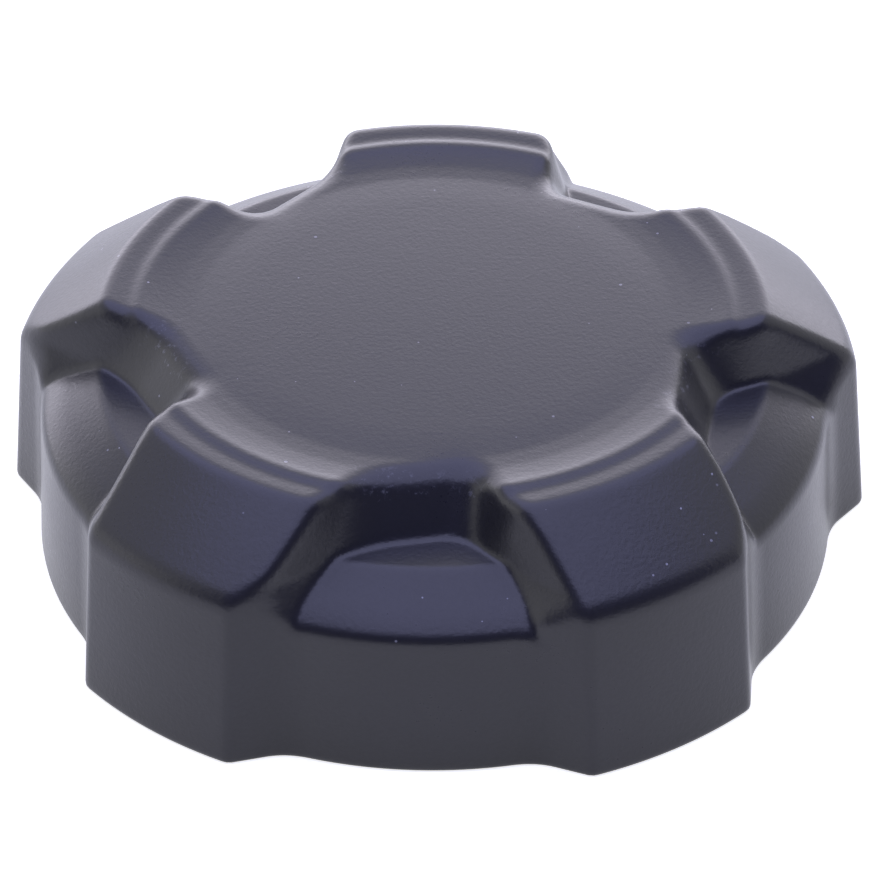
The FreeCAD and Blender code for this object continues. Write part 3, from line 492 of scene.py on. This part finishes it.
def from_axis(tree, spot):
    """Distance of a split-up place from the cap's axis."""
    square_x = value_math(tree, "MULTIPLY", spot.outputs["X"], spot.outputs["X"])
    square_y = value_math(tree, "MULTIPLY", spot.outputs["Y"], spot.outputs["Y"])
    return value_math(tree, "SQRT", value_math(tree, "ADD", square_x, square_y))


cover_plastic = finish(
    "cover_plastic", moulded, "Tone", ((0.014, 0.0138, 0.0155), (0.021, 0.0205, 0.023)), (0.35, 0.26),
    0.000032, ior=1.45, Grain=2300.0, Cloud=60.0,
)
tree = cover_plastic.node_tree
shader = tree.nodes["Principled BSDF"]
place = tree.nodes.new("ShaderNodeTexCoord")
facing = tree.nodes.new("ShaderNodeSeparateXYZ")
tree.links.new(place.outputs["Normal"], facing.inputs["Vector"])
specks = tree.nodes.new("ShaderNodeGroup")
specks.node_tree = dust
tree.links.new(place.outputs["Object"], specks.inputs["Place"])
tree.links.new(facing.outputs["Z"], specks.inputs["Up"])

# Painted highlight: pale patches mixed into the base colour along the rounded upper edge of each pocket stand
# in for the light that edge catches. Noise breaks the band into patches.
EDGE_HIGHLIGHT_RADIUS = 26.2
EDGE_HIGHLIGHT_REACH = 2.4
EDGE_HIGHLIGHT_BOTTOM = 22.5
EDGE_HIGHLIGHT_NARROWING = 0.1
EDGE_HIGHLIGHT_CUT = 0.56
EDGE_HIGHLIGHT_CONTRAST = 9.0
EDGE_HIGHLIGHT_STRENGTH = 0.45
PALE_DUST_AND_HIGHLIGHT = (0.3, 0.3, 0.32, 1.0)
spot = tree.nodes.new("ShaderNodeSeparateXYZ")
tree.links.new(place.outputs["Object"], spot.inputs["Vector"])
away = value_math(tree, "ABSOLUTE", value_math(tree, "SUBTRACT", from_axis(tree, spot), EDGE_HIGHLIGHT_RADIUS * MM))
band = value_math(tree, "SUBTRACT", 1.0, value_math(tree, "DIVIDE", away, EDGE_HIGHLIGHT_REACH * MM), True)
turn = value_math(tree, "ARCTAN2", spot.outputs["Y"], spot.outputs["X"])
turn = value_math(tree, "SUBTRACT", turn, float(np.radians(POCKET_TURN)))
facing_pocket = value_math(tree, "COSINE", value_math(tree, "MULTIPLY", turn, float(LOBES)))
facing_pocket = value_math(tree, "SUBTRACT", facing_pocket, EDGE_HIGHLIGHT_NARROWING, True)
high_up = value_math(tree, "GREATER_THAN", spot.outputs["Z"], EDGE_HIGHLIGHT_BOTTOM * MM)
area = value_math(tree, "MULTIPLY", value_math(tree, "MULTIPLY", facing_pocket, band), high_up)
marks = noise(tree, place.outputs["Object"], 1300.0, detail=4.0, roughness=0.75)
marks = value_math(tree, "SUBTRACT", marks, EDGE_HIGHLIGHT_CUT, True)
marks = value_math(tree, "MULTIPLY", marks, EDGE_HIGHLIGHT_CONTRAST, True)
painted_highlight = value_math(tree, "MULTIPLY", value_math(tree, "MULTIPLY", area, marks), EDGE_HIGHLIGHT_STRENGTH)
# The pale colour goes both on the dust specks and on the painted highlight along the pocket edges
mix = tree.nodes.new("ShaderNodeMix")
mix.data_type = "RGBA"
tree.links.new(value_math(tree, "MAXIMUM", specks.outputs["Mask"], painted_highlight), mix.inputs["Factor"])
tree.links.new(shader.inputs["Base Color"].links[0].from_socket, mix.inputs["A"])
mix.inputs["B"].default_value = PALE_DUST_AND_HIGHLIGHT
tree.links.new(mix.outputs["Result"], shader.inputs["Base Color"])
cover_skin.data.materials.append(cover_plastic)
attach(cover_skin, "cover_body")
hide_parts("cover")

# Retaining ring: a white acetal snap ring, moulded, that clips into a groove just inside the
# cover's rim and keeps the closure from dropping out.


def dress(name, material):
    """Gives a piece that stays as it was constructed its finish."""
    for place in nodes[name].material_slots:
        place.material = material


acetal = finish(
    "acetal", moulded, "Tone", ((0.8, 0.785, 0.735), (0.88, 0.87, 0.835)), (0.38, 0.3), 0.000008,
    ior=1.48, Grain=1800.0, Cloud=90.0,
)
dress("retaining_ring", acetal)

# Closure: the threaded black cup that screws onto the filler neck, held in the cover by the
# retaining ring, with the valve's tube in its middle. Glass-filled nylon, moulded, with a
# finer grain than the cover's.
closure_plastic = finish(
    "closure_plastic", moulded, "Tone", ((0.02, 0.02, 0.021), (0.036, 0.036, 0.038)), (0.46, 0.36), 0.000006,
    ior=1.53, Grain=4200.0, Cloud=140.0,
)
dress("closure", closure_plastic)

# Neck gasket and housing seal: a flat washer in the closure's roof and a ring in the housing's
# groove, both of black fuel-resistant rubber with a fine skin and a grey bloom.
rubber_skin = bpy.data.node_groups.new("rubber_skin", "ShaderNodeTree")
given, made = group_sockets(
    rubber_skin,
    [("Place", "NodeSocketVector", (0.0, 0.0, 0.0)), ("Pits", "NodeSocketFloat", 5000.0)],
    [("Height", "NodeSocketFloat"), ("Bloom", "NodeSocketFloat")],
)
pits = noise(rubber_skin, given.outputs["Place"], given.outputs["Pits"], detail=4.0, roughness=0.7)
patches = noise(rubber_skin, given.outputs["Place"], 220.0, detail=4.0, roughness=0.6)
rubber_skin.links.new(pits, made.inputs["Height"])
rubber_skin.links.new(share_of(rubber_skin, pits, 0.3, patches), made.inputs["Bloom"])

gasket_rubber = finish(
    "gasket_rubber", rubber_skin, "Bloom", ((0.014, 0.014, 0.014), (0.034, 0.034, 0.035)), (0.52, 0.68),
    0.00001, Pits=4200.0,
)
dress("neck_gasket", gasket_rubber)
dress("housing_seal", gasket_rubber)

# Slip washer and ratchet hub: two more acetal pieces. The washer lies between cover and closure,
# the hub sits on the valve's tube; turning has rubbed fine rings into both.
round_marks = bpy.data.node_groups.new("round_marks", "ShaderNodeTree")
given, made = group_sockets(
    round_marks,
    [
        ("Place", "NodeSocketVector", (0.0, 0.0, 0.0)),
        ("Fineness", "NodeSocketFloat", 3000.0),
        ("Clouds", "NodeSocketFloat", 300.0),
    ],
    [("Height", "NodeSocketFloat"), ("Wear", "NodeSocketFloat")],
)
spot = round_marks.nodes.new("ShaderNodeSeparateXYZ")
round_marks.links.new(given.outputs["Place"], spot.inputs["Vector"])
ring_place = round_marks.nodes.new("ShaderNodeCombineXYZ")
round_marks.links.new(from_axis(round_marks, spot), ring_place.inputs["X"])
round_marks.links.new(spot.outputs["Z"], ring_place.inputs["Y"])
lines = noise(round_marks, ring_place.outputs["Vector"], given.outputs["Fineness"], detail=3.0, roughness=0.6)
clouds = noise(round_marks, given.outputs["Place"], given.outputs["Clouds"], detail=3.0, roughness=0.6)
round_marks.links.new(lines, made.inputs["Height"])
round_marks.links.new(share_of(round_marks, lines, 0.5, clouds), made.inputs["Wear"])

rubbed_acetal = finish(
    "rubbed_acetal", round_marks, "Wear", ((0.78, 0.765, 0.71), (0.88, 0.87, 0.83)), (0.42, 0.26), 0.000006,
    ior=1.48, Fineness=2400.0, Clouds=180.0,
)
dress("slip_washer", rubbed_acetal)
dress("ratchet_hub", rubbed_acetal)

# Pawl spring: a band of stainless spring steel, rolled and bent round the hub, whose four
# fingers click over the cover's teeth when the cap is tight. The rolling marks run round it.
rolled_steel = finish(
    "rolled_steel", round_marks, "Wear", ((0.56, 0.56, 0.58), (0.74, 0.74, 0.76)), (0.36, 0.22), 0.000003,
    metal=1.0, Fineness=6500.0, Clouds=420.0,
)
dress("pawl_spring", rolled_steel)

# Valve housing, spring cap and splash baffle: natural nylon, moulded, off-white and a little
# yellowed by fuel vapour. The cap and the baffle, with their vent holes, close the tube's ends.
housing_plastic = finish(
    "housing_plastic", moulded, "Tone", ((0.7, 0.655, 0.54), (0.8, 0.78, 0.71)), (0.5, 0.4), 0.00001,
    ior=1.53, Grain=2200.0, Cloud=110.0,
)
dress("valve_housing", housing_plastic)
dress("spring_cap", housing_plastic)
dress("splash_baffle", housing_plastic)

# Dust filter: a disc of dark open-cell foam laid over the spring cap's vent holes, punched from
# sheet; its cells show as small pits, whose middles are darkened with painted shade.
foam_cells = bpy.data.node_groups.new("foam_cells", "ShaderNodeTree")
given, made = group_sockets(
    foam_cells,
    [("Place", "NodeSocketVector", (0.0, 0.0, 0.0)), ("Cells", "NodeSocketFloat", 1600.0)],
    [("Height", "NodeSocketFloat"), ("Wall", "NodeSocketFloat")],
)
cells = foam_cells.nodes.new("ShaderNodeTexVoronoi")
cells.feature = "DISTANCE_TO_EDGE"
foam_cells.links.new(given.outputs["Place"], cells.inputs["Vector"])
foam_cells.links.new(given.outputs["Cells"], cells.inputs["Scale"])
inwards = value_math(foam_cells, "MULTIPLY", cells.outputs["Distance"], 4.5)
wall = value_math(foam_cells, "SUBTRACT", 1.0, inwards, True)
foam_cells.links.new(wall, made.inputs["Height"])
foam_cells.links.new(wall, made.inputs["Wall"])
# The colour ramp darkens the middle of each cell as painted shade in the pits, and the cell walls stay
# lighter
foam = finish(
    "foam", foam_cells, "Wall", ((0.022, 0.022, 0.024), (0.13, 0.13, 0.14)), (0.95, 0.85), 0.00025,
    ior=1.4, Cells=1500.0,
)
dress("dust_filter", foam)

# Pressure plate, vacuum valve and stem collar: brass. The plate is stamped, the poppet and its
# collar are turned, with tool rings on their faces and a brown tarnish in patches.
valve_brass = finish(
    "valve_brass", round_marks, "Wear", ((0.5, 0.36, 0.17), (0.78, 0.63, 0.35)), (0.42, 0.22), 0.000005,
    metal=1.0, Fineness=4200.0, Clouds=350.0,
)
dress("pressure_plate", valve_brass)
dress("vacuum_valve", valve_brass)
dress("stem_collar", valve_brass)

# Pressure and vacuum seals: two thin washers of brown fuel-resistant rubber, stuck to the brass
# faces that close the valve's openings.
valve_rubber = finish(
    "valve_rubber", rubber_skin, "Bloom", ((0.095, 0.036, 0.02), (0.17, 0.082, 0.052)), (0.5, 0.62), 0.000008,
    Pits=5200.0,
)
dress("pressure_seal", valve_rubber)
dress("vacuum_seal", valve_rubber)

# Pressure and vacuum springs: coils of bright stainless wire with closed, ground ends. Drawing
# left lines along the wire and the heat treatment a straw tint.
PRESSURE_COIL = {"radius": 7.2, "wire": 0.9, "bottom": 8.12, "top": 18.38}
VACUUM_COIL = {"radius": 2.5, "wire": 0.5, "bottom": 8.12, "top": 13.18}
TURNS = 5
STEPS_A_TURN = 48
WIRE_SIDES = 12
GROUND_SHARE = 0.15
CLOSED_PITCH = 1.02


def coil_spring(name, radius, wire, bottom, top):
    """A coil whose first and last turns lie close and are ground flat."""
    turns = np.linspace(0.0, TURNS, STEPS_A_TURN * TURNS + 1)
    start = bottom + GROUND_SHARE * wire
    end = top - GROUND_SHARE * wire
    close = CLOSED_PITCH * wire
    heights = np.interp(turns, [0.0, 1.0, TURNS - 1.0, TURNS], [start, start + close, end - close, end])
    round_wire = np.arange(WIRE_SIDES) * 2.0 * np.pi / WIRE_SIDES
    out = radius + 0.5 * wire * np.cos(round_wire)
    rings = []
    for turn, height in zip(turns * 2.0 * np.pi, heights):
        z = np.clip(height + 0.5 * wire * np.sin(round_wire), bottom, top)
        rings.append(np.stack([out * np.cos(turn), out * np.sin(turn), z], -1))
    faces = grid_faces(len(rings), WIRE_SIDES)
    faces.append(list(range(WIRE_SIDES)))
    faces.append([WIRE_SIDES * (len(rings) - 1) + i for i in reversed(range(WIRE_SIDES))])
    return new_piece(name, np.concatenate(rings) * MM, faces)


spring_steel = finish(
    "spring_steel", round_marks, "Wear", ((0.62, 0.58, 0.5), (0.74, 0.74, 0.76)), (0.32, 0.18), 0.000003,
    metal=1.0, Fineness=9000.0, Clouds=900.0,
)
pressure_coil = coil_spring("pressure_coil", **PRESSURE_COIL)
vacuum_coil = coil_spring("vacuum_coil", **VACUUM_COIL)
for coil in (pressure_coil, vacuum_coil):
    coil.data.materials.append(spring_steel)
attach(pressure_coil, "closure_body")
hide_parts("pressure_spring")
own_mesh(pressure_coil)
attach(vacuum_coil, "pressure_valve")
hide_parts("vacuum_spring")
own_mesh(vacuum_coil)

# Studio: a pale floor in a white surround, with soft panels behind, above and on the left, and
# a dark curtain on the camera's side, which only the camera looks through.
FLOOR_HALF = 3
FLOOR_GLOW = 0.75
floor_corners = [(x * FLOOR_HALF, y * FLOOR_HALF, 0) for x, y in ((-1, -1), (1, -1), (1, 1), (-1, 1))]


def matt(name, colour, roughness):
    """A plain material without a highlight, and its shader."""
    material = bpy.data.materials.new(name)
    material.use_nodes = True
    shader = material.node_tree.nodes["Principled BSDF"]
    shader.inputs["Base Color"].default_value = colour
    shader.inputs["Roughness"].default_value = roughness
    shader.inputs["Specular IOR Level"].default_value = 0.0
    return material, shader


def seen_or_mirrored(tree):
    """One for rays from the camera and for those that a gloss or a glass sends on."""
    light_path = tree.nodes.new("ShaderNodeLightPath")
    rays = light_path.outputs
    seen = value_math(tree, "MAXIMUM", rays["Is Camera Ray"], rays["Is Glossy Ray"])
    return value_math(tree, "MAXIMUM", seen, rays["Is Transmission Ray"])


floor = new_piece("studio_floor", floor_corners, [[0, 1, 2, 3]], False)
floor_paint, paint = matt("floor_paint", (0.78, 0.77, 0.62, 1.0), 0.9)
tree = floor_paint.node_tree
glow = value_math(tree, "MULTIPLY", seen_or_mirrored(tree), FLOOR_GLOW)
paint.inputs["Emission Color"].default_value = (1.0, 1.0, 1.0, 1.0)
tree.links.new(glow, paint.inputs["Emission Strength"])
floor.data.materials.append(floor_paint)

CURTAIN_RADIUS = 1.3
CURTAIN_HEIGHT = 1.5
CURTAIN_POSTS = 40
curtain_turns = np.radians(np.linspace(214.0, 352.0, CURTAIN_POSTS))
curtain_foot = [(CURTAIN_RADIUS * np.cos(t), CURTAIN_RADIUS * np.sin(t), 0.001) for t in curtain_turns]
curtain_head = [(x, y, CURTAIN_HEIGHT) for x, y, _ in curtain_foot]
curtain_faces = [[i, i + 1, i + CURTAIN_POSTS + 1, i + CURTAIN_POSTS] for i in range(CURTAIN_POSTS - 1)]
curtain = new_piece("dark_curtain", curtain_foot + curtain_head, curtain_faces)
curtain_cloth, _ = matt("curtain_cloth", (0.09, 0.09, 0.12, 1.0), 1.0)
curtain.data.materials.append(curtain_cloth)
curtain.visible_camera = False

SURROUND_LEVEL = 0.4
world = bpy.data.worlds.new("white_surround")
bpy.context.scene.world = world
world.use_nodes = True
tree = world.node_tree
sky = tree.nodes["Background"]
sky.inputs["Color"].default_value = (1.0, 1.0, 1.0, 1.0)
tree.links.new(value_math(tree, "MAXIMUM", seen_or_mirrored(tree), SURROUND_LEVEL), sky.inputs["Strength"])


def standing(across, up, back, place):
    """Matrix of an object that looks against back, with its own three axes and its place."""
    rows = [(across[i], up[i], back[i], place[i]) for i in range(3)]
    return Matrix(rows + [(0.0, 0.0, 0.0, 1.0)])


def soft_panel(name, place, aim, width, height, level, tint=(1.0, 1.0, 1.0)):
    """A square-cornered soft light; level is how bright its face looks, 1 being white."""
    lamp = bpy.data.lights.new(name, "AREA")
    lamp.shape = "RECTANGLE"
    lamp.size = width
    lamp.size_y = height
    lamp.energy = level * np.pi * width * height
    lamp.color = tint
    panel = bpy.data.objects.new(name, lamp)
    bpy.context.scene.collection.objects.link(panel)
    away = np.array(place, float) - np.array(aim, float)
    away /= np.linalg.norm(away)
    across = np.cross([0.0, 0.0, 1.0] if abs(away[2]) < 0.99 else [0.0, 1.0, 0.0], away)
    across /= np.linalg.norm(across)
    panel.matrix_world = standing(across, np.cross(away, across), away, place)
    panel.visible_camera = False


soft_panel("low_back_panel", (-0.6, 1.5, 0.25), (-0.6, 0.0, 0.25), 3.6, 0.48, 1.85, (0.9, 0.88, 1.0))
soft_panel("back_panel", (-0.6, 1.55, 0.6), (-0.6, 0.0, 0.6), 3.6, 1.2, 1.95, (0.85, 0.8, 1.0))
soft_panel("top_panel", (0.0, 0.0, 1.5), (0.0, 0.0, 0.0), 2.6, 2.6, 1.85, (0.42, 0.45, 1.1))
soft_panel("left_panel", (-1.5, 0.2, 0.35), (0.0, 0.2, 0.35), 1.6, 0.7, 0.5)

# Camera: a long lens from the front and above, slightly to the right, as the photograph was
# taken. Its distance and its offsets were fitted in radii of the lobes.
CAMERA_TURN = np.radians(3.714)
CAMERA_LIFT = np.radians(37.308)
CAMERA_ROLL = np.radians(-0.3857)
CAMERA_DISTANCE = 13.0604 * LOBE_RADIUS * MM
ASIDE = 0.01087 * LOBE_RADIUS * MM
ABOVE = 0.18354 * LOBE_RADIUS * MM
FOCAL_PIXELS = 5429.73
PICTURE_PIXELS = 878.0
SENSOR_WIDTH = 36.0
flat = np.cos(CAMERA_LIFT)
right = np.array([np.cos(CAMERA_TURN), np.sin(CAMERA_TURN), 0.0])
back = np.array([np.sin(CAMERA_TURN) * flat, -np.cos(CAMERA_TURN) * flat, np.sin(CAMERA_LIFT)])
up = np.cross(back, right)
eye = back * CAMERA_DISTANCE + ASIDE * right + ABOVE * up
across = np.cos(CAMERA_ROLL) * right + np.sin(CAMERA_ROLL) * up
upright = np.cos(CAMERA_ROLL) * up - np.sin(CAMERA_ROLL) * right
lens = bpy.data.cameras.new("photo_camera")
lens.sensor_width = SENSOR_WIDTH
lens.lens = FOCAL_PIXELS / PICTURE_PIXELS * SENSOR_WIDTH
lens.clip_start = 0.01
lens.clip_end = 20.0
camera = bpy.data.objects.new("photo_camera", lens)
camera.matrix_world = standing(across, upright, back, eye)
bpy.context.scene.collection.objects.link(camera)
bpy.context.scene.camera = camera
bpy.context.scene.view_settings.view_transform = "Standard"
